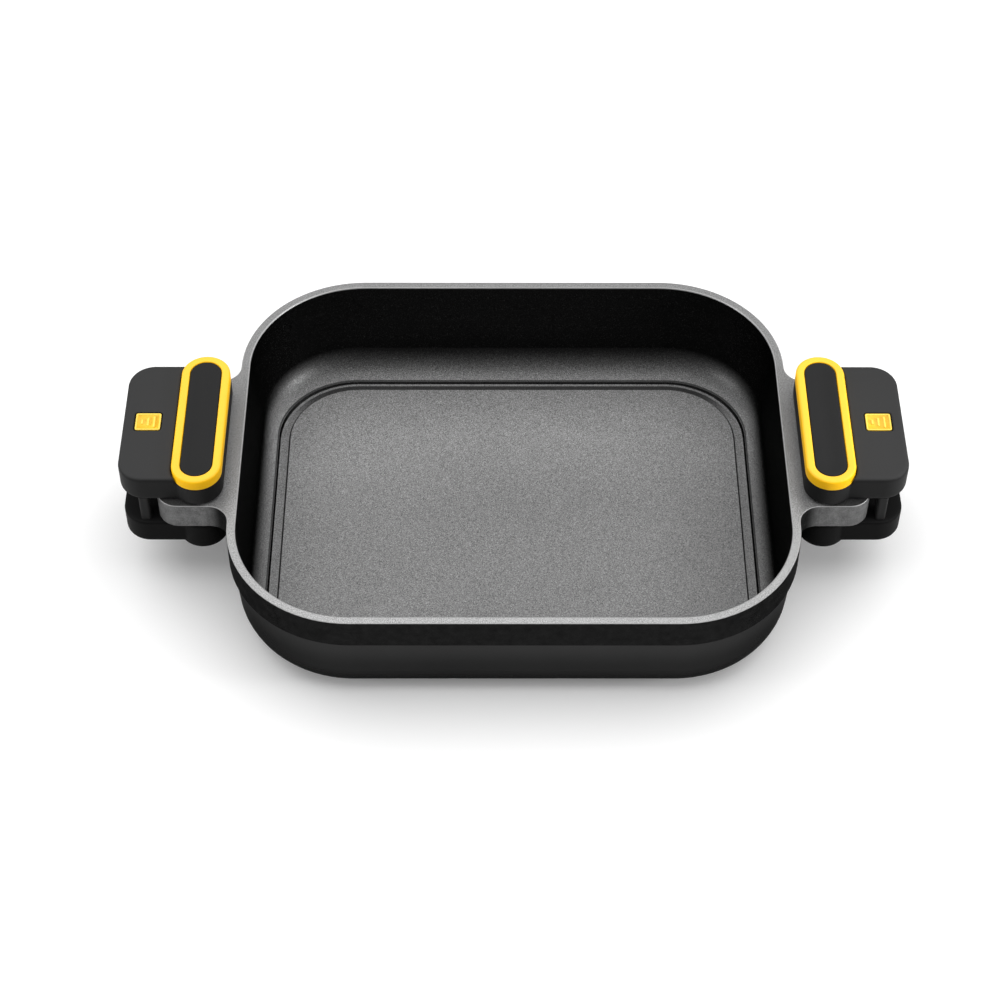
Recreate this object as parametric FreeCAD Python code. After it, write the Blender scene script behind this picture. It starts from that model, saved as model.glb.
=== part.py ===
import FreeCAD, Part
import os
from math import sqrt

"""Rectangular cast griddle pan with two pull-off grips.

Millimetres.  The origin is the middle of the underside, on the surface the pan stands on.
+X runs along the length to the right grip, -Y is the front and +Z is up.
Everything on a grip is built for the right end and mirrored for the left one.
"""

# ---------------------------------------------------------------- pan: driving dimensions
PAN_LENGTH = 280.0          # over the rim, along X
PAN_WIDTH = 232.0           # over the rim, along Y
PAN_HEIGHT = 61.5           # underside to rim
CORNER_R = 62.0             # outer corner of the rim, seen from above
RIM_WALL = 4.4              # wall at the rim
WALL_TAPER = 4.0            # how far the inner wall leans in between rim and floor
FLOOR_THICKNESS = 4.5
FLOOR_CORNER_R = 48.0       # inner corner at floor level
FLOOR_FILLET = 16.0         # between inner wall and floor
RIM_EDGE_R = 0.7

COLLAR_HEIGHT = 16.8        # straight outer band under the rim
COLLAR_STEP = 1.2           # the body below the band stands this far in
COLLAR_EDGE_R = 0.5
BODY_TAPER = 3.4            # further lean of the outer wall down to the underside
BODY_CORNER_R = 57.0        # outer corner at the underside
BODY_FILLET = 22.0          # between outer wall and underside
BODY_OVERLAP = 7.5          # how far the body runs up inside the collar

CHANNEL_INSET_X = 15.0      # rim edge to the top of the channel's outer wall, at the ends
CHANNEL_INSET_Y = 18.4      # and at the front and back
CHANNEL_WIDTH = 6.6
CHANNEL_DEPTH = 1.0         # below the cooking floor
CHANNEL_CORNER_R = 42.0
CHANNEL_OUTER_LEAN = 1.4    # lean of the outer wall over its height
CHANNEL_OUTER_RISE = 5.0    # outer wall's top above the floor, inside the fillet
CHANNEL_INNER_LEAN = 0.9
CHANNEL_EDGE_R = 0.35

# ---------------------------------------------------------------- lugs and base plate
LUG_REACH = 36.0            # beyond the rim
LUG_WIDTH = 86.0
LUG_THICKNESS = 15.0
LUG_CORNER_R = 11.0
LUG_ROOT_R = 10.0
LUG_EDGE_R = 0.8

BASE_PLATE_LENGTH = 200.0
BASE_PLATE_WIDTH = 152.0
BASE_PLATE_CORNER_R = 34.0
BASE_PLATE_THICKNESS = 1.6
BASE_PLATE_CLEARANCE = 0.2  # around its edge in the recess

# ---------------------------------------------------------------- grips: driving dimensions
GRIP_GAP = 0.5              # pad to lug, above and below
GRIP_OUTER = 54.0           # rim edge to the outer edge of the pads
GRIP_CORNER_R = 13.0
UPPER_PAD_WIDTH = 78.0
LOWER_PAD_WIDTH = 80.0
UPPER_PAD_THICKNESS = 14.8
LOWER_PAD_THICKNESS = 14.3
PAD_EDGE_R = 2.0

LOBE_OFFSET = 15.0          # rim edge to the middle of the lobe
LOBE_LENGTH = 86.0
LOBE_WIDTH = 24.4
UPPER_LOBE_THICKNESS = 11.5  # up to the seat of the ring
LOWER_LOBE_THICKNESS = 16.0
LOBE_EDGE_R = 2.0

RING_HEIGHT = 6.0
RING_BAND = 4.1
RING_EDGE_R = 1.3
RING_INNER_EDGE_R = 0.4
RING_GAP = 0.5              # ring to the edge of the pad beside it
INLAY_GAP = 0.25            # inlay to ring
INLAY_DROP = 0.2            # below the top of the ring
INLAY_EDGE_R = 0.5
PEG_R = 1.5
PEG_LENGTH = 3.0
PEG_SPACING = 50.0

BADGE_LENGTH = 13.0         # along X
BADGE_WIDTH = 11.6
BADGE_THICKNESS = 1.2
BADGE_CORNER_R = 1.0
BADGE_INSET = 12.5          # outer edge of the pad to the middle of the badge
BADGE_DROP = 0.5            # plate of the badge below the pad's top
BADGE_GAP = 0.3
BADGE_RELIEF = 0.35
BADGE_BAR_WIDTH = 1.1
BADGE_BARS = (3.0, 5.4, 7.4)
BADGE_BAR_PITCH = 3.0

POST_WIDTH = 5.0            # along X
POST_DEPTH = 8.0            # along Y
POST_GAP = 3.5              # lug end to post
POST_INSET = 1.0            # edge of the upper pad to the post
POST_CORNER_R = 1.2

SCREW_SHANK_R = 1.25
SCREW_HEAD_R = 2.6
SCREW_HEAD_HEIGHT = 2.0
SCREW_BITE = 9.0            # into the upper pad
SCREW_TIP_ROOM = 0.6
SCREW_SEAT_DEPTH = 6.0      # head seat, up from the underside of the lower pad
SCREW_CLEARANCE = 0.05
SCREW_HEAD_CLEARANCE = 0.4
SCREW_SLOT_LENGTH = 3.6
SCREW_SLOT_WIDTH = 0.8
SCREW_SLOT_DEPTH = 0.9

LINER_THICKNESS = 1.8
LINER_PROUD = 0.2           # out of the pad, towards the lug
LINER_LENGTH = 27.0         # along X
LINER_WIDTH = 64.0
LINER_CORNER_R = 5.0
LINER_EDGE_GAP = 0.2
LINER_INSET = 2.0           # lug end to the liner

# ---------------------------------------------------------------- places worked out from them
HALF_X = PAN_LENGTH / 2
HALF_Y = PAN_WIDTH / 2
RIM_Z = PAN_HEIGHT
LUG_BOTTOM = RIM_Z - LUG_THICKNESS
COLLAR_BOTTOM = RIM_Z - COLLAR_HEIGHT
LUG_END = HALF_X + LUG_REACH
LOBE_X = HALF_X + LOBE_OFFSET
PAD_END = HALF_X + GRIP_OUTER

UPPER_BOTTOM = RIM_Z + GRIP_GAP
UPPER_TOP = UPPER_BOTTOM + UPPER_PAD_THICKNESS
RING_SEAT = UPPER_BOTTOM + UPPER_LOBE_THICKNESS
RING_TOP = RING_SEAT + RING_HEIGHT
LOWER_TOP = LUG_BOTTOM - GRIP_GAP
LOWER_BOTTOM = LOWER_TOP - LOWER_PAD_THICKNESS

POST_X = LUG_END + POST_GAP + POST_WIDTH / 2
POST_Y = UPPER_PAD_WIDTH / 2 - POST_INSET - POST_DEPTH / 2
SCREW_SEAT = LOWER_BOTTOM + SCREW_SEAT_DEPTH
BADGE_X = PAD_END - BADGE_INSET
LINER_X = LUG_END - LINER_INSET - LINER_LENGTH / 2
OVER = 1.0                  # how far cutting tools run past a face


# ---------------------------------------------------------------- outlines and simple solids
def vec(x, y, z):
    return FreeCAD.Vector(x, y, z)


def rounded_rect(half_x, half_y, radius, z, centre_x=0.0):
    """Closed outline of a rectangle with round corners, parallel to the floor."""
    mid = radius * (1 - 1 / sqrt(2))
    x0, x1 = centre_x - half_x, centre_x + half_x
    y0, y1 = -half_y, half_y
    corners = (
        (vec(x1 - radius, y0, z), vec(x1 - mid, y0 + mid, z), vec(x1, y0 + radius, z)),
        (vec(x1, y1 - radius, z), vec(x1 - mid, y1 - mid, z), vec(x1 - radius, y1, z)),
        (vec(x0 + radius, y1, z), vec(x0 + mid, y1 - mid, z), vec(x0, y1 - radius, z)),
        (vec(x0, y0 + radius, z), vec(x0 + mid, y0 + mid, z), vec(x0 + radius, y0, z)),
    )
    edges = []
    for index, corner in enumerate(corners):
        following = corners[(index + 1) % len(corners)]
        edges.append(Part.Arc(*corner).toShape())
        if (corner[2] - following[0]).Length > 1e-6:
            edges.append(Part.LineSegment(corner[2], following[0]).toShape())
    return Part.Wire(edges)


def slab(half_x, half_y, radius, bottom, top, centre_x=0.0):
    outline = rounded_rect(half_x, half_y, radius, bottom, centre_x)
    return Part.Face(outline).extrude(vec(0, 0, top - bottom))


def stadium(length, width, bottom, top, centre_x):
    """Slab with fully round ends, its long side along Y."""
    radius = width / 2
    straight = length / 2 - radius
    x0, x1 = centre_x - radius, centre_x + radius
    tip = straight + radius
    corners = [vec(x1, straight, bottom), vec(x0, straight, bottom)]
    corners += [vec(x0, -straight, bottom), vec(x1, -straight, bottom)]
    outline = Part.Wire([
        Part.Arc(corners[0], vec(centre_x, tip, bottom), corners[1]).toShape(),
        Part.LineSegment(corners[1], corners[2]).toShape(),
        Part.Arc(corners[2], vec(centre_x, -tip, bottom), corners[3]).toShape(),
        Part.LineSegment(corners[3], corners[0]).toShape(),
    ])
    return Part.Face(outline).extrude(vec(0, 0, top - bottom))


def inset_rect(inset, radius, z):
    """Outline that stands inset from the rim's outer edge."""
    return rounded_rect(HALF_X - inset, HALF_Y - inset, radius, z)


def taper(lower, upper):
    return Part.makeLoft([lower, upper], True, True)


def rod(radius, x, y, bottom, top):
    return Part.makeCylinder(radius, top - bottom, vec(x, y, bottom))


def level_edges(shape, z):
    """Edges that lie wholly at height z."""
    found = []
    for edge in shape.Edges:
        box = edge.BoundBox
        if abs(box.ZMin - z) < 1e-4 and abs(box.ZMax - z) < 1e-4:
            found.append(edge)
    return found


def round_level(shape, z, radius):
    return shape.makeFillet(radius, level_edges(shape, z))


def lug_root_edges(shape):
    """Vertical edges where the long sides of the lugs meet the collar."""
    found = []
    for edge in shape.Edges:
        box = edge.BoundBox
        upright = box.XLength < 1e-3 and box.YLength < 1e-3
        on_side = abs(abs(box.YMin) - LUG_WIDTH / 2) < 1e-3
        if upright and on_side and abs(box.XMin) < LUG_END - LUG_CORNER_R - 1e-3:
            found.append(edge)
    return found


# ---------------------------------------------------------------- pan
def make_lug_band():
    """Upper part of the collar and both lugs: one band of the same thickness."""
    band = slab(HALF_X, HALF_Y, CORNER_R, LUG_BOTTOM, RIM_Z)
    lugs = slab(LUG_END, LUG_WIDTH / 2, LUG_CORNER_R, LUG_BOTTOM, RIM_Z)
    band = band.fuse(lugs).removeSplitter()
    band = band.makeFillet(LUG_ROOT_R, lug_root_edges(band))
    return round_level(band, LUG_BOTTOM, LUG_EDGE_R)


def make_collar():
    collar = slab(HALF_X, HALF_Y, CORNER_R, COLLAR_BOTTOM, RIM_Z)
    return round_level(collar, COLLAR_BOTTOM, COLLAR_EDGE_R)


def make_lower_body():
    under = inset_rect(COLLAR_STEP + BODY_TAPER, BODY_CORNER_R, 0.0)
    top = inset_rect(COLLAR_STEP, CORNER_R - COLLAR_STEP, COLLAR_BOTTOM + BODY_OVERLAP)
    return round_level(taper(under, top), 0.0, BODY_FILLET)


def make_cavity():
    floor = inset_rect(RIM_WALL + WALL_TAPER, FLOOR_CORNER_R, FLOOR_THICKNESS)
    top = inset_rect(RIM_WALL, CORNER_R - RIM_WALL, RIM_Z)
    hollow = round_level(taper(floor, top), FLOOR_THICKNESS, FLOOR_FILLET)
    mouth = Part.Face(top).extrude(vec(0, 0, OVER))
    return hollow.fuse(mouth).removeSplitter()


def channel_rect(inset, z):
    """Outline that stands inset from the top of the channel's outer wall."""
    half_x = HALF_X - CHANNEL_INSET_X - inset
    half_y = HALF_Y - CHANNEL_INSET_Y - inset
    return rounded_rect(half_x, half_y, CHANNEL_CORNER_R - inset, z)


def make_channel():
    """Shallow channel round the cooking floor, with leaning walls and soft foot edges."""
    bottom = FLOOR_THICKNESS - CHANNEL_DEPTH
    top = FLOOR_THICKNESS + CHANNEL_OUTER_RISE
    outer = taper(channel_rect(CHANNEL_OUTER_LEAN, bottom), channel_rect(0.0, top))
    island_foot = channel_rect(CHANNEL_WIDTH - CHANNEL_INNER_LEAN, bottom)
    island_top = channel_rect(CHANNEL_WIDTH, FLOOR_THICKNESS)
    lid = Part.Face(island_top).extrude(vec(0, 0, CHANNEL_OUTER_RISE))
    channel = outer.cut(taper(island_foot, island_top)).cut(lid).removeSplitter()
    return round_level(channel, bottom, CHANNEL_EDGE_R)


def make_base_recess():
    half_x = BASE_PLATE_LENGTH / 2 + BASE_PLATE_CLEARANCE
    half_y = BASE_PLATE_WIDTH / 2 + BASE_PLATE_CLEARANCE
    radius = BASE_PLATE_CORNER_R + BASE_PLATE_CLEARANCE
    return slab(half_x, half_y, radius, -OVER, BASE_PLATE_THICKNESS)


def make_pan_body():
    body = make_lug_band().fuse(make_collar()).fuse(make_lower_body())
    body = body.cut(make_cavity()).cut(make_channel()).cut(make_base_recess())
    return round_level(body.removeSplitter(), RIM_Z, RIM_EDGE_R)


def make_base_plate():
    half_x, half_y = BASE_PLATE_LENGTH / 2, BASE_PLATE_WIDTH / 2
    return slab(half_x, half_y, BASE_PLATE_CORNER_R, 0.0, BASE_PLATE_THICKNESS)


# ---------------------------------------------------------------- grip, right end
def pad_plate(width, bottom, top):
    """Outer part of a pad, from the middle of the lobe to the pad's outer edge."""
    half_x = (PAD_END - LOBE_X) / 2 + GRIP_CORNER_R
    whole = slab(half_x, width / 2, GRIP_CORNER_R, bottom, top, PAD_END - half_x)
    keep = Part.makeBox(PAD_END, width, top - bottom, vec(LOBE_X, -width / 2, bottom))
    return whole.common(keep)


def soften(shape, z, radius, inner_x):
    """Round the level edges at height z that lie outside inner_x."""
    edges = [edge for edge in level_edges(shape, z) if edge.BoundBox.XMax > inner_x + 1e-3]
    return shape.makeFillet(radius, edges)


def post_places():
    return ((POST_X, -POST_Y), (POST_X, POST_Y))


def liner_slab(gap, bottom, top):
    half_x, half_y = LINER_LENGTH / 2 + gap, LINER_WIDTH / 2 + gap
    return slab(half_x, half_y, LINER_CORNER_R + gap, bottom, top, LINER_X)


def make_upper_pad():
    plate = pad_plate(UPPER_PAD_WIDTH, UPPER_BOTTOM, UPPER_TOP)
    plate = soften(plate, UPPER_TOP, PAD_EDGE_R, LOBE_X)
    well = stadium(LOBE_LENGTH + 2 * RING_GAP, LOBE_WIDTH + 2 * RING_GAP,
                   RING_SEAT, UPPER_TOP + OVER, LOBE_X)
    lobe = stadium(LOBE_LENGTH, LOBE_WIDTH, UPPER_BOTTOM, RING_SEAT, LOBE_X)
    pad = plate.cut(well).fuse(lobe).removeSplitter()
    pad = round_level(pad, UPPER_BOTTOM, LOBE_EDGE_R)
    pad = pad.cut(badge_slab(BADGE_GAP, UPPER_TOP - BADGE_DROP - BADGE_THICKNESS, UPPER_TOP + OVER))
    recess_top = UPPER_BOTTOM - LINER_PROUD + LINER_THICKNESS
    pad = pad.cut(liner_slab(LINER_EDGE_GAP, UPPER_BOTTOM - OVER, recess_top))
    hole_top = UPPER_BOTTOM + SCREW_BITE + SCREW_TIP_ROOM
    for x, y in post_places():
        pad = pad.cut(rod(SCREW_SHANK_R + SCREW_CLEARANCE, x, y, UPPER_BOTTOM - OVER, hole_top))
    for y in (-PEG_SPACING / 2, PEG_SPACING / 2):
        bottom = RING_SEAT - PEG_LENGTH - SCREW_TIP_ROOM
        pad = pad.cut(rod(PEG_R + SCREW_CLEARANCE, LOBE_X, y, bottom, RING_SEAT + OVER))
    return pad


def make_lower_pad():
    plate = pad_plate(LOWER_PAD_WIDTH, LOWER_BOTTOM, LOWER_TOP)
    plate = soften(plate, LOWER_BOTTOM, PAD_EDGE_R, LOBE_X)
    lobe_bottom = LOWER_TOP - LOWER_LOBE_THICKNESS
    lobe = stadium(LOBE_LENGTH, LOBE_WIDTH, lobe_bottom, LOWER_TOP, LOBE_X)
    lobe = round_level(lobe, lobe_bottom, LOBE_EDGE_R)
    pad = plate.fuse(lobe).removeSplitter()
    pad = round_level(pad, LOWER_TOP, LOBE_EDGE_R / 2)
    recess_bottom = LOWER_TOP + LINER_PROUD - LINER_THICKNESS
    pad = pad.cut(liner_slab(LINER_EDGE_GAP, recess_bottom, LOWER_TOP + OVER))
    for x, y in post_places():
        head = SCREW_HEAD_R + SCREW_HEAD_CLEARANCE
        pad = pad.cut(rod(head, x, y, LOWER_BOTTOM - OVER, SCREW_SEAT))
        pad = pad.cut(rod(SCREW_SHANK_R + SCREW_CLEARANCE, x, y, LOWER_BOTTOM, LOWER_TOP + OVER))
    return pad


def make_accent_ring():
    ring = stadium(LOBE_LENGTH, LOBE_WIDTH, RING_SEAT, RING_TOP, LOBE_X)
    ring = round_level(ring, RING_TOP, RING_EDGE_R)
    length, width = LOBE_LENGTH - 2 * RING_BAND, LOBE_WIDTH - 2 * RING_BAND
    ring = ring.cut(stadium(length, width, RING_SEAT - OVER, RING_TOP + OVER, LOBE_X))
    inner = [edge for edge in level_edges(ring, RING_TOP) if edge.BoundBox.XMax < LOBE_X + width / 2 + 1e-3]
    inner = [edge for edge in inner if edge.BoundBox.XMin > LOBE_X - width / 2 - 1e-3]
    inner = [edge for edge in inner if abs(edge.BoundBox.YMax) < length / 2 + 1e-3]
    return ring.makeFillet(RING_INNER_EDGE_R, inner)


def make_inlay():
    width = LOBE_WIDTH - 2 * (RING_BAND + INLAY_GAP)
    length = LOBE_LENGTH - 2 * (RING_BAND + INLAY_GAP)
    top = RING_TOP - INLAY_DROP
    inlay = round_level(stadium(length, width, RING_SEAT, top, LOBE_X), top, INLAY_EDGE_R)
    for y in (-PEG_SPACING / 2, PEG_SPACING / 2):
        inlay = inlay.fuse(rod(PEG_R, LOBE_X, y, RING_SEAT - PEG_LENGTH, RING_SEAT))
    return inlay


def badge_slab(gap, bottom, top):
    half_x, half_y = BADGE_LENGTH / 2 + gap, BADGE_WIDTH / 2 + gap
    return slab(half_x, half_y, BADGE_CORNER_R + gap, bottom, top, BADGE_X)


def make_badge():
    """Small plate with three plain raised bars of growing length."""
    top = UPPER_TOP - BADGE_DROP
    badge = badge_slab(0.0, top - BADGE_THICKNESS, top)
    for index, length in enumerate(BADGE_BARS):
        x = BADGE_X + (index - (len(BADGE_BARS) - 1) / 2) * BADGE_BAR_PITCH
        badge = badge.fuse(stadium(length, BADGE_BAR_WIDTH, top, top + BADGE_RELIEF, x))
    return badge


def make_post(y):
    post = slab(POST_WIDTH / 2, POST_DEPTH / 2, POST_CORNER_R, LOWER_TOP, UPPER_BOTTOM, POST_X)
    post.translate(vec(0, y, 0))
    return post.cut(rod(SCREW_SHANK_R + SCREW_CLEARANCE, POST_X, y, LOWER_TOP - OVER, UPPER_BOTTOM + OVER))


def make_screw(x, y):
    head_bottom = SCREW_SEAT - SCREW_HEAD_HEIGHT
    screw = rod(SCREW_HEAD_R, x, y, head_bottom, SCREW_SEAT)
    screw = screw.fuse(rod(SCREW_SHANK_R, x, y, SCREW_SEAT, UPPER_BOTTOM + SCREW_BITE))
    for along_x, along_y in ((SCREW_SLOT_LENGTH, SCREW_SLOT_WIDTH), (SCREW_SLOT_WIDTH, SCREW_SLOT_LENGTH)):
        corner = vec(x - along_x / 2, y - along_y / 2, head_bottom)
        screw = screw.cut(Part.makeBox(along_x, along_y, SCREW_SLOT_DEPTH, corner))
    return screw


def make_screws():
    return Part.makeCompound([make_screw(x, y) for x, y in post_places()])


def make_upper_liner():
    bottom = UPPER_BOTTOM - LINER_PROUD
    return liner_slab(0.0, bottom, bottom + LINER_THICKNESS)


def make_lower_liner():
    top = LOWER_TOP + LINER_PROUD
    return liner_slab(0.0, top - LINER_THICKNESS, top)


def grip_pieces():
    return {
        "upper_pad": make_upper_pad(),
        "lower_pad": make_lower_pad(),
        "accent_ring": make_accent_ring(),
        "ring_inlay": make_inlay(),
        "badge": make_badge(),
        "front_post": make_post(-POST_Y),
        "rear_post": make_post(POST_Y),
        "screws": make_screws(),
        "upper_liner": make_upper_liner(),
        "lower_liner": make_lower_liner(),
    }


# ---------------------------------------------------------------- write every sub-part
def main():
    os.makedirs("parts", exist_ok=True)
    nodes = {"pan_body": make_pan_body(), "base_plate": make_base_plate()}
    for name, shape in grip_pieces().items():
        nodes["right_" + name] = shape
        nodes["left_" + name] = shape.mirror(vec(0, 0, 0), vec(1, 0, 0))
    for name, shape in nodes.items():
        shape.exportStep(os.path.join("parts", name + ".step"))
        box = shape.BoundBox
        size = "%.1f x %.1f x %.1f" % (box.XLength, box.YLength, box.ZLength)
        state = "valid" if shape.isValid() else "NOT VALID"
        print(name, state, len(shape.Solids), size, round(shape.Volume))


main()
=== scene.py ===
"""Looks of a rectangular cast griddle pan with two pull-off grips.

Laid out as an add-on and run as a script.  Lengths are in metres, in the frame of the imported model:
+X to the right grip, +Y to the back, +Z up from the surface that the pan stands on.
"""

from math import cos, pi, radians, sin

import bmesh
import bpy
from bpy.props import FloatProperty, FloatVectorProperty, IntProperty, PointerProperty
from mathutils import Matrix, Vector


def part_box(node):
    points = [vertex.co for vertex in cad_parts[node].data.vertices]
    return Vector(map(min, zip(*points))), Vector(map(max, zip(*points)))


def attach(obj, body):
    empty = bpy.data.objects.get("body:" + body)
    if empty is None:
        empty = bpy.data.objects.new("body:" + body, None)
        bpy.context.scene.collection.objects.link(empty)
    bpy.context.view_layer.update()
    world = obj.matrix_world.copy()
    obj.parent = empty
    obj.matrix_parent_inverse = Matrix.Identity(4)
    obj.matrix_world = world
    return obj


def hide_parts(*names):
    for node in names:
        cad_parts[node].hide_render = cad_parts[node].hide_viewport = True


bl_info = {
    "name": "Griddle pan",
    "version": (1, 0, 0),
    "blender": (4, 5, 0),
    "location": "View3D > Sidebar > Griddle pan",
    "description": "Finishes and soft pieces of a cast griddle pan with pull-off grips",
    "category": "Object",
}

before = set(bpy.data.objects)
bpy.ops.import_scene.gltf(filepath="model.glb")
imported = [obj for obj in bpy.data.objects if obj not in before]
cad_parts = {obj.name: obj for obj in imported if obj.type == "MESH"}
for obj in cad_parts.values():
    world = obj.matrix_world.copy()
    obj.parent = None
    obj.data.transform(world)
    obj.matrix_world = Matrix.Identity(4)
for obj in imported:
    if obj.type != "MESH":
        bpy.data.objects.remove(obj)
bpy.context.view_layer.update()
SIDES = ("left", "right")

RIM_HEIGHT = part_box("pan_body")[1].z
BAND_BOTTOM = RIM_HEIGHT - 0.0168    # underside of the straight band round the rim
PAN_HALF_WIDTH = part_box("pan_body")[1].y
PAN_HALF_LENGTH = 0.140              # the rim alone, without the lugs

# Where the coat's tones begin and end, in metres.  A pair is a soft step from nothing to full.  A set of four
# is a strip: it begins, is full, fades and is gone.
RIM_TOP = (RIM_HEIGHT - 0.0012, RIM_HEIGHT - 0.0004)
# Height of the rim's rounded inner edge, which gets a painted highlight.
RIM_EDGE_PAINTED_HIGHLIGHT = (RIM_HEIGHT - 0.0009, RIM_HEIGHT - 0.0004)
BAND_START = (BAND_BOTTOM - 0.0006, BAND_BOTTOM)
# Heights over which the outer shell goes from painted shade at the bottom to its full tone.
SHELL_PAINTED_SHADE = (0.024, 0.042)
LUG_TOP_START = (PAN_HALF_LENGTH - 0.004, PAN_HALF_LENGTH + 0.004)
LUG_SIDE_START = (PAN_HALF_LENGTH + 0.004, PAN_HALF_LENGTH + 0.012)
# Painted shadow on the lug top, under the grip.
LUG_PAINTED_SHADOW = (PAN_HALF_LENGTH + 0.010, PAN_HALF_LENGTH + 0.017)
LUG_SPAN = (0.06, 0.075)             # in from the pan's front and back
# Painted shade on the rim top: darker towards the back.
RIM_PAINTED_SHADE_BACK = (-0.11, 0.03)
# Painted light on the floor: lighter towards the back, with painted shade towards the right.
FLOOR_PAINTED_LIGHT_BACK = (0.0, 0.09)
FLOOR_PAINTED_SHADE_RIGHT = (0.05, 0.10)
# Where painted shade lies in the channel: below its top height, in strips measured outward from its outer
# wall.
CHANNEL_TOP = (0.012, 0.013)
CHANNEL_SIDES = (0.066, 0.090)       # across the pan, where the channel turns along the front and back
CHANNEL_OUTER_WALL = (-0.0009, -0.0005, -0.0001, 0.0003)
CHANNEL_BOTTOM = (-0.0066, -0.0063, -0.0031, -0.0025)
CHANNEL_INNER_WALL = (-0.0068, -0.0065, -0.0062, -0.0059)


# ---------------------------------------------------------------- settings
def length(name, default, description):
    return FloatProperty(name=name, default=default, description=description,
                         unit="LENGTH", precision=5)


def colour(name, default, description):
    return FloatVectorProperty(name=name, default=default, description=description,
                               subtype="COLOR", size=3, min=0.0, max=1.0)


def number(name, default, description):
    return FloatProperty(name=name, default=default, description=description, precision=4)


def angle(name, default, description):
    return FloatProperty(name=name, default=radians(default), description=description,
                         subtype="ANGLE")


class PanLook(bpy.types.PropertyGroup):
    coat: colour("Cooking coat", (0.166, 0.166, 0.166), "Coat where it faces up")
    coat_fleck: colour("Coat fleck", (0.60, 0.60, 0.60), "Metallic flecks in the coat")
    rim: colour("Rim", (0.385, 0.385, 0.385), "Top of the rim at the front")
    # Colour of the painted highlight on the rim's rounded inner edge.
    edge: colour("Inner edge", (0.60, 0.60, 0.60), "Rounded inner edge of the rim")
    # Painted shade: the dark colour the coat is given on the steep inner walls.
    steep_wall_painted_shade: colour("Steep coat", (0.0010, 0.0010, 0.0010), "Coat on the steep inner walls")
    band: colour("Outer band", (0.0192, 0.0192, 0.0192), "Straight band under the rim, outside")
    shell: colour("Outer shell", (0.048, 0.048, 0.048), "Wall below the band, outside")
    lug_side: colour("Lug side", (0.168, 0.168, 0.168), "Edges of the lugs")
    grain: length("Grain", 0.00048, "Width of one grain of the coat")
    channel_x: length("Channel, ends", 0.015, "Rim edge to the channel's outer wall at the ends")
    channel_y: length("Channel, sides", 0.0184,
                      "Rim edge to the channel's outer wall at the front and back")
    channel_corner: length("Channel corner", 0.042, "Corner radius of the channel's outer wall")
    grain_height: length("Grain height", 0.00004, "Height of the grains")
    steel: colour("Base steel", (0.52, 0.52, 0.53), "Magnetic plate under the pan")
    brush_pitch: length("Brush pitch", 0.0006, "Distance between the brushed lines of the base")


class GripLook(bpy.types.PropertyGroup):
    # Painted shade: the side colours are darker copies of the colours that face up.
    pad: colour("Pad", (0.032, 0.032, 0.0323), "Black silicone of the pads where it faces up")
    pad_side_painted_shade: colour("Pad side", (0.009, 0.009, 0.0091), "Black silicone of the upper pads' sides")
    # Painted shade: the lower pads, which sit under the upper ones, are given darker colours.
    lower_pad_painted_shade: colour("Lower side", (0.003, 0.003, 0.003),
                       "Black silicone of the lower pads' sides")
    inlay: colour("Inlay", (0.015, 0.015, 0.0152), "Black silicone inside the ring")
    accent: colour("Accent", (0.88, 0.50, 0.050), "Yellow silicone of the ring")
    # Painted shade: a darker, deeper yellow for the ring's sides.
    accent_side_painted_shade: colour("Accent side", (0.92, 0.50, 0.006), "Yellow silicone of the ring's sides")
    # Painted glow: the yellow silicone is made to give off light, though it is no lamp.
    accent_painted_glow: number("Accent glow", 0.12, "Light let through by the yellow silicone")
    badge: colour("Badge", (0.90, 0.64, 0.09), "Raised parts of the badge")
    badge_ground: colour("Badge ground", (0.84, 0.50, 0.03), "Sunk field of the badge")
    voxel: length("Pad detail", 0.00045, "Cell size of the moulded pads")
    softening: IntProperty(name="Softening", default=7, min=0,
                           description="Passes that round the pads' edges")
    ring_band: length("Ring band", 0.0041, "Width of the ring seen from above")
    ring_edge: length("Ring edge", 0.0013, "Radius of the ring's outer edge")
    ring_inner_edge: length("Ring inner edge", 0.0005, "Radius of the ring's inner edge")
    inlay_edge: length("Inlay edge", 0.0006, "Radius of the inlay's edge")
    inlay_dish: length("Inlay dish", 0.0005, "How far the inlay dips in the middle")
    badge_gap: length("Badge gap", 0.00025,
                      "How much smaller the badge is than its plate in the pad")
    badge_lip: length("Badge lip", 0.0008, "Width of the badge's raised border")
    badge_field: length("Badge field", 0.0005, "Depth of the badge's field below its border")
    post: colour("Post", (0.010, 0.010, 0.010), "Black plastic of the posts")
    liner: colour("Liner", (0.02, 0.02, 0.02), "Soft black sheet where it faces up")
    # Painted shade: a darker copy of the liner's colour for its sides.
    liner_side_painted_shade: colour("Liner side", (0.015, 0.015, 0.015), "Soft black sheet elsewhere")


class StageLook(bpy.types.PropertyGroup):
    floor: colour("Floor", (0.93, 0.93, 0.93), "Table under the pan")
    sky: number("Sky", 0.41, "Strength of the even white light all round")
    key_power: number("Key power", 34.0, "Watts of the large light overhead")
    right_power: number("Right power", 4.5, "Watts of the low light at the right")
    left_power: number("Left power", 2.0, "Watts of the low light at the left")
    right_spot: number("Right spot", 95.0, "Watts of the narrow light into the back left corner")
    left_spot: number("Left spot", 50.0, "Watts of the narrow light into the back right corner")
    spot_angle: angle("Spot angle", 6.5, "Full width of each narrow light")
    floor_glow: number("Floor glow", 0.10, "Light that the table itself gives off")
    distance: length("Camera distance", 1.196, "Camera to the middle of the rim, along the view")
    elevation: angle("Elevation", 48.8, "Camera above the horizon")
    turn: angle("Turn", 0.24, "Camera round the pan")
    roll: angle("Roll", 0.2, "Camera about its own axis")
    across: length("Across", -0.00654, "Camera to the right of the line of sight")
    upward: length("Upward", -0.02905, "Camera above the line of sight")
    lens: number("Lens", 85.8, "Focal length in millimetres on a 36 mm sensor")


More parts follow.
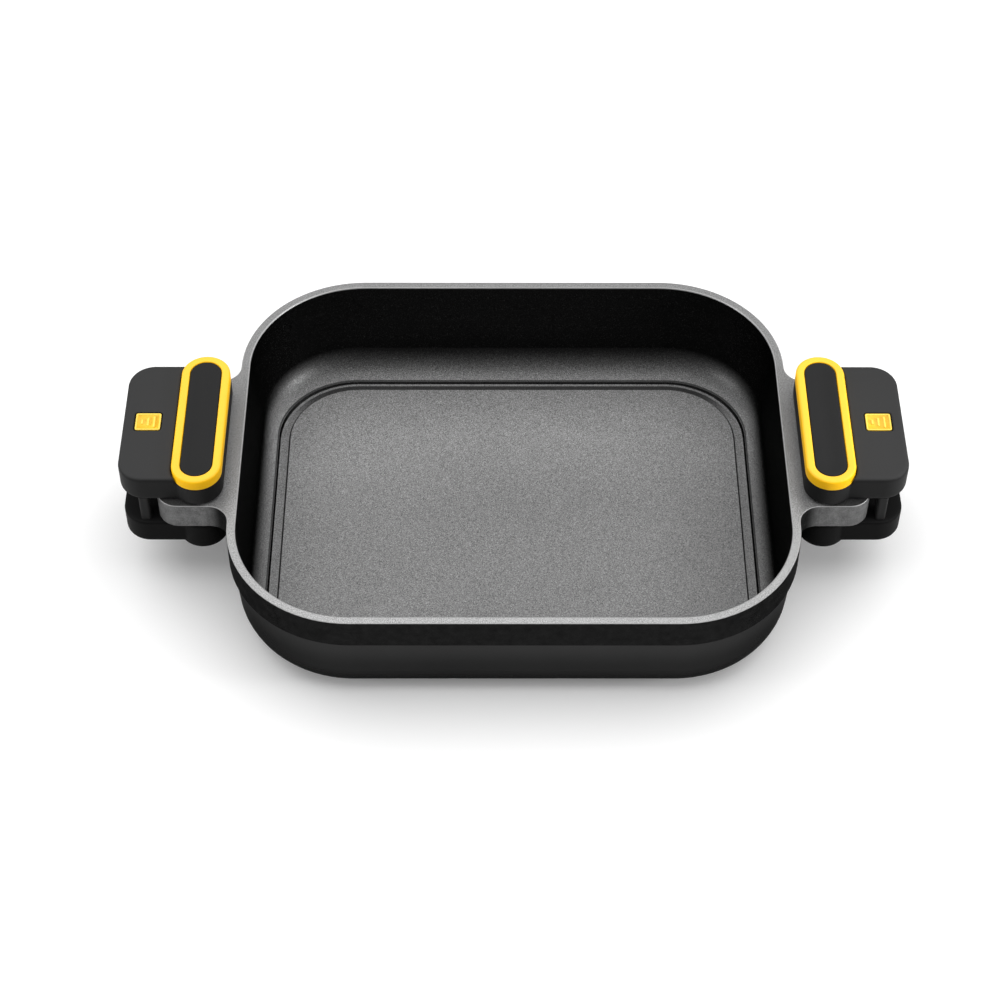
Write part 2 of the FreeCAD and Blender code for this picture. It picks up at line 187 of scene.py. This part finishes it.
# ---------------------------------------------------------------- shader helpers
class Value:
    """One output of a shader node, which can be used in ordinary sums."""

    def __init__(self, finish, socket):
        self.finish = finish
        self.socket = socket

    def maths(self, operation, first, second):
        return self.finish.node("ShaderNodeMath", {"operation": operation}, {0: first, 1: second})

    def __add__(self, other):
        return self.maths("ADD", self, other)

    __radd__ = __add__

    def __sub__(self, other):
        return self.maths("SUBTRACT", self, other)

    def __rsub__(self, other):
        return self.maths("SUBTRACT", other, self)

    def __mul__(self, other):
        return self.maths("MULTIPLY", self, other)

    __rmul__ = __mul__

    def __truediv__(self, other):
        return self.maths("DIVIDE", self, other)

    def __rtruediv__(self, other):
        return self.maths("DIVIDE", other, self)

    def __pow__(self, other):
        return self.maths("POWER", self, other)

    def __abs__(self):
        return self.maths("ABSOLUTE", self, 0.0)


class Finish:
    """One material, built round its Principled shader."""

    def __init__(self, name, metallic=0.0, specular=0.5):
        self.material = bpy.data.materials.new(name)
        self.material.use_nodes = True
        self.tree = self.material.node_tree
        self.shader = self.tree.nodes["Principled BSDF"]
        self.set("Metallic", metallic)
        self.set("Specular IOR Level", specular)

    def node(self, kind, settings=None, inputs=None, output=0):
        """A node of one kind, with its settings made first and then its sockets."""
        made = self.tree.nodes.new(kind)
        for key, value in (settings or {}).items():
            setattr(made, key, value)
        for key, value in (inputs or {}).items():
            self.join(value, made.inputs[key])
        return Value(self, made.outputs[output])

    def join(self, value, socket):
        if isinstance(value, Value):
            self.tree.links.new(value.socket, socket)
        elif socket.type == "RGBA" and len(value) == 3:
            socket.default_value = (*value, 1.0)
        else:
            socket.default_value = value

    def set(self, name, value):
        self.join(value, self.shader.inputs[name])

    def place(self):
        """Where a point is on the object, in metres."""
        return self.node("ShaderNodeTexCoord", output="Object")

    def split(self, vector):
        made = self.node("ShaderNodeSeparateXYZ", inputs={0: vector}).socket.node
        return [Value(self, socket) for socket in made.outputs]

    def facing(self):
        """The surface's own direction as x, y and z."""
        return self.split(self.node("ShaderNodeNewGeometry", output="Normal"))

    def noise(self, width, detail=2.0, vector=None):
        inputs = {"Vector": vector or self.place(), "Scale": 1.0 / width, "Detail": detail}
        return self.node("ShaderNodeTexNoise", inputs=inputs)

    def step(self, value, low, high):
        """0 below low and 1 above high, with a soft change between them."""
        inputs = {"Value": value, "From Min": low, "From Max": high}
        return self.node("ShaderNodeMapRange", {"interpolation_type": "SMOOTHSTEP"}, inputs)

    def strip(self, value, edges, shift=0.0):
        """1 inside a strip and 0 outside it; the shift moves only where it begins."""
        begins, full, fades, gone = edges
        return self.step(value + shift, begins, full) * (1.0 - self.step(value, fades, gone))

    def larger(self, first, second):
        return self.node("ShaderNodeMath", {"operation": "MAXIMUM"}, {0: first, 1: second})

    def smaller(self, first, second):
        return self.node("ShaderNodeMath", {"operation": "MINIMUM"}, {0: first, 1: second})

    def blend(self, share, first, second):
        settings = {"data_type": "RGBA"}
        return self.node("ShaderNodeMix", settings, {0: share, 6: first, 7: second}, output=2)

    def shade(self, share, colour_value):
        """The colour made lighter or darker by a factor."""
        grey = self.node("ShaderNodeCombineXYZ", inputs={0: share, 1: share, 2: share})
        inputs = {0: colour_value, 1: grey}
        return self.node("ShaderNodeVectorMath", {"operation": "MULTIPLY"}, inputs)

    def bump(self, height, distance, strength=1.0):
        inputs = {"Height": height, "Distance": distance, "Strength": strength}
        self.set("Normal", self.node("ShaderNodeBump", inputs=inputs))


# ---------------------------------------------------------------- finishes
def channel_painted_shade(finish, look, x, y, z):
    """Painted shade in the channel: on its walls, and on its bottom at the front and back."""
    corner = look.channel_corner
    past_x = abs(x) - (PAN_HALF_LENGTH - look.channel_x - corner)
    past_y = abs(y) - (PAN_HALF_WIDTH - look.channel_y - corner)
    clear_x = finish.larger(past_x, 0.0)
    clear_y = finish.larger(past_y, 0.0)
    straight = finish.smaller(finish.larger(past_x, past_y), 0.0)
    outward = (clear_x * clear_x + clear_y * clear_y) ** 0.5 + straight - corner
    sides = finish.step(abs(y), *CHANNEL_SIDES)
    wall = finish.strip(outward, CHANNEL_OUTER_WALL, shift=0.0004 * sides)
    bottom = finish.strip(outward, CHANNEL_BOTTOM)
    inner_wall = finish.strip(outward, CHANNEL_INNER_WALL)
    low = 1.0 - finish.step(z, *CHANNEL_TOP)
    return (wall * 0.85 + bottom * sides * 0.85 + inner_wall * (1.0 - sides) * 0.6) * low


# Its share in the base colour paints the walls' shade; it also sets how metallic the coat is.
def flatness(finish, facing_x, facing_y, facing_z):
    """How far a surface of the inside lies flat: from 0 on a steep wall to 1 on the floor."""
    upward = finish.larger(facing_z, 0.0)
    level_y = 0.55 * upward + 0.45 * upward ** 16.0
    level_x = finish.step(upward, 0.28, 0.92)
    sideways = facing_x * facing_x / (facing_x * facing_x + facing_y * facing_y + 0.0001)
    return level_y + sideways ** 4.0 * (level_x - level_y)


def inner_coat(finish, look, place, facing_z, level, fine, fleck, drift):
    """Non-stick coat: grey and grained where it lies flat, with painted shade that makes it near black on the
    walls.
    """
    x, y, z = place
    grain = finish.larger(-0.9 + 3.6 * fine + 0.2 * drift, 0.05)
    # Painted light and shade: the floor is made lighter towards the back and darker towards the right.
    tone = 1.0 + 0.40 * finish.step(y, *FLOOR_PAINTED_LIGHT_BACK) - 0.12 * finish.step(x, *FLOOR_PAINTED_SHADE_RIGHT)
    cook = finish.blend(fleck * 0.28, tuple(look.coat), tuple(look.coat_fleck))
    cook = finish.shade(grain * tone, cook)
    # Painted shade in the channel.
    cook = finish.shade(1.0 - channel_painted_shade(finish, look, x, y, z), cook)
    # Painted shadow: the lug top darkens where the grip sits over it.
    cook = finish.shade(1.0 - 0.75 * finish.step(abs(x), *LUG_PAINTED_SHADOW), cook)

    past_end = finish.step(abs(x), *LUG_TOP_START)
    lug_span = finish.step(PAN_HALF_WIDTH - abs(y), *LUG_SPAN)
    on_rim = finish.step(z, *RIM_TOP) * (1.0 - past_end * lug_span)
    # Painted shade: the rim top darkens towards the back.
    rim = finish.shade(1.0 - 0.56 * finish.step(y, *RIM_PAINTED_SHADE_BACK), tuple(look.rim))
    cook = finish.blend(on_rim * 0.75, cook, finish.shade(0.15 + 0.95 * grain, rim))

    spark = finish.step(finish.noise(look.grain, detail=1.0), 0.62, 0.72)
    steep = finish.blend(spark * 0.05, tuple(look.steep_wall_painted_shade), tuple(look.coat_fleck))
    # Painted shade: by how flat the surface lies, the coat goes from its grey to near black on the walls.
    inner = finish.blend(level, steep, cook)
    # Painted highlight: the rim's rounded inner edge is blended towards a pale grey.
    edge = finish.step(z, *RIM_EDGE_PAINTED_HIGHLIGHT) * (1.0 - finish.step(facing_z, 0.90, 0.995))
    return finish.blend(edge * 0.5, inner, tuple(look.edge))


def outer_coat(finish, look, z, on_band, on_lug, fine, drift):
    """Matt black coat: a darker straight band over a smooth shell, and grey sides of the lugs."""
    blotch = finish.noise(0.004, detail=2.0)
    band = finish.blend(on_lug, tuple(look.band), tuple(look.lug_side))
    band = finish.shade((0.3 + 1.4 * fine) * (0.55 + 0.9 * blotch), band)
    # Painted shade: the shell is darker towards the bottom, on top of its random tone.
    tone = (0.80 + 0.3 * drift + 0.1 * fine) * (0.66 + 0.34 * finish.step(z, *SHELL_PAINTED_SHADE))
    return finish.blend(on_band, finish.shade(tone, tuple(look.shell)), band)


def coated_casting(look):
    """Non-stick coat with metallic flecks inside, matt black coat outside."""
    finish = Finish("coated_cast_aluminium")
    place = finish.split(finish.place())
    x, y, z = place
    facing_x, facing_y, facing_z = finish.facing()
    fine = finish.noise(look.grain, detail=3.0)
    fleck = finish.step(finish.noise(look.grain * 0.8, detail=1.0), 0.58, 0.70)
    drift = finish.noise(0.05, detail=2.0)

    away = facing_x * x / PAN_HALF_LENGTH + facing_y * y / PAN_HALF_WIDTH
    outward = finish.step(away, 0.20, 0.45)
    under = finish.step(0.0 - facing_z, 0.05, 0.3)
    on_lug = finish.step(abs(x), *LUG_SIDE_START)
    outside = finish.larger(finish.larger(outward, under), on_lug)
    outside = outside * (1.0 - finish.step(facing_z, 0.5, 0.8))
    on_band = finish.step(z, *BAND_START)
    level = flatness(finish, facing_x, facing_y, facing_z)

    inner = inner_coat(finish, look, place, facing_z, level, fine, fleck, drift)
    outer = outer_coat(finish, look, z, on_band, on_lug, fine, drift)
    finish.set("Base Color", finish.blend(outside, inner, outer))
    rough_inside = 0.46 + 0.16 * fine - 0.10 * fleck
    rough_outside = 0.50 + 0.12 * on_band + 0.10 * fine
    finish.set("Roughness", rough_inside + outside * (rough_outside - rough_inside))
    finish.set("Metallic", 1.0 - 0.8 * level * (1.0 - outside))
    finish.set("Coat Weight", (0.03 + 0.40 * level) * (1.0 - outside))
    finish.set("Coat Roughness", 0.4)
    finish.set("Specular Tint", (0.35, 0.35, 0.35, 1.0))
    finish.bump(fine * (1.0 - outside * (1.0 - on_band) * 0.7), look.grain_height)
    return finish.material


def brushed_base(look):
    """Steel brushed along the pan, with faint stains."""
    finish = Finish("brushed_base_steel", metallic=1.0)
    x, y, z = finish.split(finish.place())
    stretched = finish.node("ShaderNodeCombineXYZ", inputs={0: x * 0.02, 1: y, 2: z})
    lines = finish.noise(look.brush_pitch, detail=4.0, vector=stretched)
    stain = finish.noise(0.03, detail=3.0)
    finish.set("Base Color", finish.shade(0.8 + 0.25 * lines + 0.1 * stain, tuple(look.steel)))
    finish.set("Roughness", 0.24 + 0.2 * lines)
    finish.bump(lines, 0.00003)
    return finish.material


def silicone(name, top, side, roughness=0.52, specular=0.12):
    """Matt moulded silicone with a faint moulded texture; the colour where it faces up and the darker side
    colour are painted light and shade.
    """
    finish = Finish(name, specular=specular)
    fine = finish.noise(0.00035, detail=3.0)
    drift = finish.noise(0.018, detail=3.0)
    # Painted light and shade: the facing picks between the lit top colour and the shaded side colour.
    level = finish.step(finish.facing()[2], 0.35, 0.98)
    base = finish.blend(level, side, top)
    finish.set("Base Color", finish.shade(0.90 + 0.10 * fine + 0.12 * drift, base))
    finish.set("Roughness", roughness + 0.08 * fine + 0.08 * drift)
    finish.bump(fine, 0.000012)
    return finish


def post_plastic(look):
    """Matt black plastic of the posts."""
    finish = Finish("post_plastic", specular=0.2)
    fine = finish.noise(0.0004, detail=2.0)
    finish.set("Base Color", finish.shade(0.88 + 0.24 * fine, tuple(look.post)))
    finish.set("Roughness", 0.6 + 0.1 * fine)
    finish.bump(fine, 0.00001)
    return finish.material


def badge_plastic(look):
    """Yellow plastic, deeper in colour in the sunk field than on the raised parts."""
    finish = Finish("badge_plastic", specular=0.35)
    fine = finish.noise(0.0004, detail=2.0)
    height = finish.split(finish.place())[2]
    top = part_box("left_badge")[1].z
    raised = finish.step(height, top - look.badge_field, top - look.badge_field / 3)
    base = finish.blend(raised, tuple(look.badge_ground), tuple(look.badge))
    finish.set("Base Color", finish.shade(0.88 + 0.24 * fine, base))
    finish.set("Roughness", 0.4 + 0.1 * fine)
    finish.bump(fine, 0.00001)
    return finish.material


def screw_steel():
    """Plain steel, a little worn."""
    finish = Finish("screw_steel", metallic=1.0)
    wear = finish.noise(0.0012, detail=4.0)
    finish.set("Base Color", finish.shade(0.7 + 0.5 * wear, (0.50, 0.50, 0.51)))
    finish.set("Roughness", 0.28 + 0.25 * wear)
    finish.bump(wear, 0.00002)
    return finish.material


def table_top(look):
    """Pale matt table."""
    finish = Finish("table_top", specular=0.1)
    drift = finish.noise(0.4, detail=2.0)
    finish.set("Roughness", 0.9)
    finish.set("Emission Color", (1.0, 1.0, 1.0))
    finish.set("Emission Strength", look.floor_glow)
    finish.set("Base Color", finish.shade(0.99 + 0.02 * drift, tuple(look.floor)))
    return finish.material


# ---------------------------------------------------------------- mesh helpers
def new_piece(name, mesh, material, body, *nodes):
    """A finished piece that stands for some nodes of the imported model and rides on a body."""
    piece = bpy.data.objects.new(name, mesh)
    bpy.context.scene.collection.objects.link(piece)
    mesh.materials.clear()
    mesh.materials.append(material)
    mesh.shade_smooth()
    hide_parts(*nodes)
    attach(piece, body)
    return piece


def repaint(node, material):
    """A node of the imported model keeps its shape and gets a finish."""
    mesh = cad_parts[node].data
    mesh.materials.clear()
    mesh.materials.append(material)


def stadium_loop(centre_x, half_length, radius, z, steps):
    """Points round a slot shape whose long side lies along Y, counter-clockwise from above."""
    points = []
    for end in (1, -1):
        for index in range(steps + 1):
            turn = pi * index / steps + (0.0 if end == 1 else pi)
            across = centre_x + radius * cos(turn)
            along = end * (half_length - radius) + radius * sin(turn)
            points.append((across, along, z))
    return points


def round_rect_loop(centre, half_x, half_y, radius, z, steps):
    """Points round a rectangle with round corners, counter-clockwise from above."""
    points = []
    for quarter, (side_x, side_y) in enumerate(((1, 1), (-1, 1), (-1, -1), (1, -1))):
        for index in range(steps + 1):
            turn = pi / 2 * (quarter + index / steps)
            across = centre.x + side_x * (half_x - radius) + radius * cos(turn)
            along = centre.y + side_y * (half_y - radius) + radius * sin(turn)
            points.append((across, along, z))
    return points


def skin(mesh, loops, closed):
    """Quads between loops of equal length.

    Closed joins the last loop to the first; open puts a cap on both ends.
    """
    rows = [[mesh.verts.new(point) for point in loop] for loop in loops]
    pairs = list(zip(rows, rows[1:]))
    if closed:
        pairs.append((rows[-1], rows[0]))
    for lower, upper in pairs:
        for index in range(len(lower)):
            following = (index + 1) % len(lower)
            mesh.faces.new((lower[index], lower[following], upper[following], upper[index]))
    if not closed:
        mesh.faces.new(list(reversed(rows[0])))
        mesh.faces.new(rows[-1])


def as_mesh(name, build):
    """A mesh filled by a function, with its faces turned outward."""
    mesh = bmesh.new()
    build(mesh)
    bmesh.ops.recalc_face_normals(mesh, faces=mesh.faces)
    made = bpy.data.meshes.new(name)
    mesh.to_mesh(made)
    mesh.free()
    return made


def rounding(inset, z, radius, start, end, steps):
    """Points (inset, z) of a rounded edge about a centre, from one angle to another in degrees."""
    points = []
    for index in range(steps + 1):
        turn = radians(start + (end - start) * index / steps)
        points.append((inset - radius * cos(turn), z + radius * sin(turn)))
    return points


# ---------------------------------------------------------------- grips
def moulded_pad(side, level, look, material):
    """The pad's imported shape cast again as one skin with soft, evenly rounded edges."""
    node = side + "_" + level + "_pad"
    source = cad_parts[node]
    work = bpy.data.objects.new("pad_work", source.data.copy())
    bpy.context.scene.collection.objects.link(work)
    remesh = work.modifiers.new("skin", "REMESH")
    remesh.mode = "VOXEL"
    remesh.voxel_size = look.voxel
    smooth = work.modifiers.new("soften", "SMOOTH")
    smooth.factor = 0.5
    smooth.iterations = look.softening
    bpy.context.view_layer.update()
    evaluated = work.evaluated_get(bpy.context.evaluated_depsgraph_get())
    mesh = bpy.data.meshes.new_from_object(evaluated)
    bpy.data.objects.remove(work)
    mesh.name = node + "_moulded"
    piece = new_piece(node + "_moulded", mesh, material, side + "_grip", node)
    return piece


def accent_ring(side, look, material):
    """Slot-shaped ring with a softly rounded top."""
    node = side + "_accent_ring"
    low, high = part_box(node)
    centre_x = (low.x + high.x) / 2
    radius = (high.x - low.x) / 2
    half_length = (high.y - low.y) / 2
    edge, inner_edge, foot_edge = look.ring_edge, look.ring_inner_edge, 0.0003
    profile = rounding(foot_edge, low.z + foot_edge, foot_edge, -90, 0, 3)
    profile += rounding(edge, high.z - edge, edge, 0, 90, 8)
    inner = look.ring_band - inner_edge
    profile += rounding(inner, high.z - inner_edge, inner_edge, 90, 180, 6)
    inner = look.ring_band - foot_edge
    profile += rounding(inner, low.z + foot_edge, foot_edge, 180, 270, 3)
    loops = [stadium_loop(centre_x, half_length - inset, radius - inset, z, 40)
             for inset, z in profile]
    mesh = as_mesh(node + "_moulded", lambda made: skin(made, loops, True))
    piece = new_piece(node + "_moulded", mesh, material, side + "_grip", node)
    return piece


def ring_inlay(side, look, material):
    """Black filling of the ring, dished a little in the middle."""
    node = side + "_ring_inlay"
    low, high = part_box(node)
    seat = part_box(side + "_accent_ring")[0].z
    centre_x = (low.x + high.x) / 2
    radius = (high.x - low.x) / 2
    half_length = (high.y - low.y) / 2
    edge = look.inlay_edge
    profile = [(0.0, seat)] + rounding(edge, high.z - edge, edge, 0, 90, 6)
    steps, reach = 10, 0.97
    for index in range(1, steps):
        share = index / steps
        inset = edge + (radius - edge) * share * reach
        profile.append((inset, high.z - look.inlay_dish * sin(pi / 2 * share) ** 2))
    loops = [stadium_loop(centre_x, half_length - inset, radius - inset, z, 36)
             for inset, z in profile]
    mesh = as_mesh(node + "_moulded", lambda made: skin(made, loops, False))
    piece = new_piece(node + "_moulded", mesh, material, side + "_grip", node)
    return piece


def badge_loops(low, high, look):
    """Plate with a raised border round a sunk field."""
    centre = (low + high) / 2
    half_x = (high.x - low.x) / 2 - look.badge_gap
    half_y = (high.y - low.y) / 2 - look.badge_gap
    corner, smallest_corner, edge = 0.001, 0.0002, 0.0002
    top = high.z
    profile = [(0.0, low.z)] + rounding(edge, top - edge, edge, 0, 90, 3)
    lip = look.badge_lip
    profile += [(lip - edge / 2, top), (lip, top - edge / 2),
                (lip + edge / 2, top - look.badge_field)]
    loops = []
    for inset, z in profile:
        radius = max(corner - inset, smallest_corner)
        loops.append(round_rect_loop(centre, half_x - inset, half_y - inset, radius, z, 5))
    return loops


def badge_bar_loops(centre_x, half_length, half_width, field, top):
    """One raised bar, with its foot sunk into the field."""
    edge, foot = 0.0003, 0.0002
    profile = [(0.0, field - foot)] + rounding(edge, top - edge, edge, 0, 90, 4)
    return [stadium_loop(centre_x, half_length - inset, half_width - inset, z, 10)
            for inset, z in profile]


def badge(side, look, material):
    """Small plate with three plain raised bars of growing length."""
    node = side + "_badge"
    low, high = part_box(node)
    field = high.z - look.badge_field
    centre_x = (low.x + high.x) / 2
    bar_half_lengths, bar_half_width, bar_pitch = (0.0015, 0.0027, 0.0037), 0.00055, 0.003

    def build(mesh):
        skin(mesh, badge_loops(low, high, look), False)
        for index, half_length in enumerate(bar_half_lengths):
            bar_x = centre_x + (index - 1) * bar_pitch
            skin(mesh, badge_bar_loops(bar_x, half_length, bar_half_width, field, high.z), False)

    mesh = as_mesh(node + "_plate", build)
    piece = new_piece(node + "_plate", mesh, material, side + "_grip", node)
    return piece


# ---------------------------------------------------------------- operators
class GRIDDLE_OT_pan(bpy.types.Operator):
    """Coat the casting and brush the base plate"""

    bl_idname = "griddle.pan"
    bl_label = "Pan"

    def execute(self, context):
        look = context.scene.griddle_pan
        repaint("pan_body", coated_casting(look))
        repaint("base_plate", brushed_base(look))
        return {"FINISHED"}


class GRIDDLE_OT_pads(bpy.types.Operator):
    """Mould the upper and lower pads"""

    bl_idname = "griddle.pads"
    bl_label = "Pads"

    def execute(self, context):
        look = context.scene.griddle_grip
        upper = silicone("upper_silicone", tuple(look.pad), tuple(look.pad_side_painted_shade))
        # Painted shade: the lower pads get the upper pads' side colour on top and a still darker colour on
        # their sides.
        lower = silicone("lower_silicone_painted_shade", tuple(look.pad_side_painted_shade), tuple(look.lower_pad_painted_shade),
                         specular=0.06)
        for side in SIDES:
            moulded_pad(side, "upper", look, upper.material)
            moulded_pad(side, "lower", look, lower.material)
        return {"FINISHED"}


class GRIDDLE_OT_rings(bpy.types.Operator):
    """Make the accent rings and the inlays inside them"""

    bl_idname = "griddle.rings"
    bl_label = "Rings and inlays"

    def execute(self, context):
        look = context.scene.griddle_grip
        yellow = silicone("yellow_silicone", tuple(look.accent), tuple(look.accent_side_painted_shade), 0.42)
        # Painted glow: the yellow silicone gives off a little light, though it is no lamp.
        yellow.set("Emission Color", tuple(look.accent_side_painted_shade))
        yellow.set("Emission Strength", look.accent_painted_glow)
        black = silicone("inlay_silicone", tuple(look.inlay), tuple(look.pad_side_painted_shade))
        for side in SIDES:
            accent_ring(side, look, yellow.material)
            ring_inlay(side, look, black.material)
        return {"FINISHED"}


class GRIDDLE_OT_badges(bpy.types.Operator):
    """Make the badges"""

    bl_idname = "griddle.badges"
    bl_label = "Badges"

    def execute(self, context):
        look = context.scene.griddle_grip
        material = badge_plastic(look)
        for side in SIDES:
            badge(side, look, material)
        return {"FINISHED"}


class GRIDDLE_OT_fixings(bpy.types.Operator):
    """Finish the posts, screws and liners"""

    bl_idname = "griddle.fixings"
    bl_label = "Posts, screws and liners"

    def execute(self, context):
        look = context.scene.griddle_grip
        post = post_plastic(look)
        steel = screw_steel()
        liner = silicone("liner_silicone", tuple(look.liner), tuple(look.liner_side_painted_shade), 0.7).material
        for side in SIDES:
            for name in ("front_post", "rear_post"):
                repaint(side + "_" + name, post)
            repaint(side + "_screws", steel)
            for name in ("upper_liner", "lower_liner"):
                repaint(side + "_" + name, liner)
        return {"FINISHED"}


class GRIDDLE_OT_stage(bpy.types.Operator):
    """Set the table, the lights and the camera"""

    bl_idname = "griddle.stage"
    bl_label = "Stage"

    def execute(self, context):
        look = context.scene.griddle_stage
        set_table(look)
        set_lights(context.scene, look)
        set_camera(context.scene, look)
        return {"FINISHED"}


def set_table(look):
    """One large square, just below the pan's underside."""
    half, top = 4.0, -0.0002
    mesh = bpy.data.meshes.new("table")
    corners = [(-half, -half, top), (half, -half, top), (half, half, top), (-half, half, top)]
    mesh.from_pydata(corners, [], [(0, 1, 2, 3)])
    mesh.materials.append(table_top(look))
    table = bpy.data.objects.new("table", mesh)
    bpy.context.scene.collection.objects.link(table)
    table.visible_diffuse = False


def place_lamp(light, place, aim):
    """Put a light somewhere and turn it to a point."""
    lamp = bpy.data.objects.new(light.name, light)
    lamp.location = place
    lamp.rotation_euler = (Vector(aim) - Vector(place)).to_track_quat("-Z", "Y").to_euler()
    bpy.context.scene.collection.objects.link(lamp)


def area_light(name, place, aim, size, power):
    light = bpy.data.lights.new(name, "AREA")
    light.shape = "RECTANGLE"
    light.size, light.size_y = size
    light.energy = power
    place_lamp(light, place, aim)


def spot_light(name, place, aim, width, power):
    light = bpy.data.lights.new(name, "SPOT")
    light.spot_size = width
    light.spot_blend = 1.0
    light.shadow_soft_size = 0.06
    light.energy = power
    place_lamp(light, place, aim)


def set_lights(scene, look):
    world = bpy.data.worlds.new("studio")
    world.use_nodes = True
    background = world.node_tree.nodes["Background"]
    background.inputs["Color"].default_value = (1.0, 1.0, 1.0, 1.0)
    background.inputs["Strength"].default_value = look.sky
    scene.world = world
    area_light("key", (0.0, 0.25, 1.5), (0, 0, 0), (2.8, 2.2), look.key_power)
    low_place, low_aim, low_size = Vector((1.3, -0.35, 0.50)), (0, 0, 0.03), (0.3, 0.2)
    spot_place, spot_aim = Vector((1.3, -0.42, 0.40)), Vector((-0.105, 0.085, 0.032))
    to_left = Vector((-1, 1, 1))
    area_light("low_right", low_place, low_aim, low_size, look.right_power)
    area_light("low_left", low_place * to_left, low_aim, low_size, look.left_power)
    spot_light("spot_right", spot_place, spot_aim, look.spot_angle, look.right_spot)
    spot_light("spot_left", spot_place * to_left, spot_aim * to_left, look.spot_angle, look.left_spot)
    scene.view_settings.view_transform = "Standard"


def set_camera(scene, look):
    """Camera at the pan's front, turned about the middle of the rim."""
    camera = bpy.data.objects.new("camera", bpy.data.cameras.new("camera"))
    camera.data.sensor_width = 36.0
    camera.data.lens = look.lens
    turned = Matrix.Rotation(-look.turn, 3, "Z") @ Matrix.Rotation(pi / 2 - look.elevation, 3, "X")
    aim = Vector((0.0, 0.0, RIM_HEIGHT))
    camera.location = aim + turned @ Vector((look.across, look.upward, look.distance))
    camera.rotation_euler = (turned @ Matrix.Rotation(look.roll, 3, "Z")).to_euler()
    scene.collection.objects.link(camera)
    scene.camera = camera


# ---------------------------------------------------------------- panel and registration
OPERATORS = (GRIDDLE_OT_pan, GRIDDLE_OT_pads, GRIDDLE_OT_rings, GRIDDLE_OT_badges,
             GRIDDLE_OT_fixings, GRIDDLE_OT_stage)


class GRIDDLE_PT_panel(bpy.types.Panel):
    """Settings and steps of the griddle pan"""

    bl_idname = "GRIDDLE_PT_panel"
    bl_label = "Griddle pan"
    bl_space_type = "VIEW_3D"
    bl_region_type = "UI"
    bl_category = "Griddle pan"

    def draw(self, context):
        scene = context.scene
        for group in (scene.griddle_pan, scene.griddle_grip, scene.griddle_stage):
            box = self.layout.box()
            for name in group.__annotations__:
                box.prop(group, name)
        for operator in OPERATORS:
            self.layout.operator(operator.bl_idname)


CLASSES = (PanLook, GripLook, StageLook, *OPERATORS, GRIDDLE_PT_panel)


def register():
    for item in CLASSES:
        bpy.utils.register_class(item)
    bpy.types.Scene.griddle_pan = PointerProperty(type=PanLook)
    bpy.types.Scene.griddle_grip = PointerProperty(type=GripLook)
    bpy.types.Scene.griddle_stage = PointerProperty(type=StageLook)


def unregister():
    del bpy.types.Scene.griddle_stage
    del bpy.types.Scene.griddle_grip
    del bpy.types.Scene.griddle_pan
    for item in reversed(CLASSES):
        bpy.utils.unregister_class(item)


def main():
    register()
    bpy.ops.griddle.pan()
    bpy.ops.griddle.pads()
    bpy.ops.griddle.rings()
    bpy.ops.griddle.badges()
    bpy.ops.griddle.fixings()
    bpy.ops.griddle.stage()


if __name__ == "__main__":
    main()
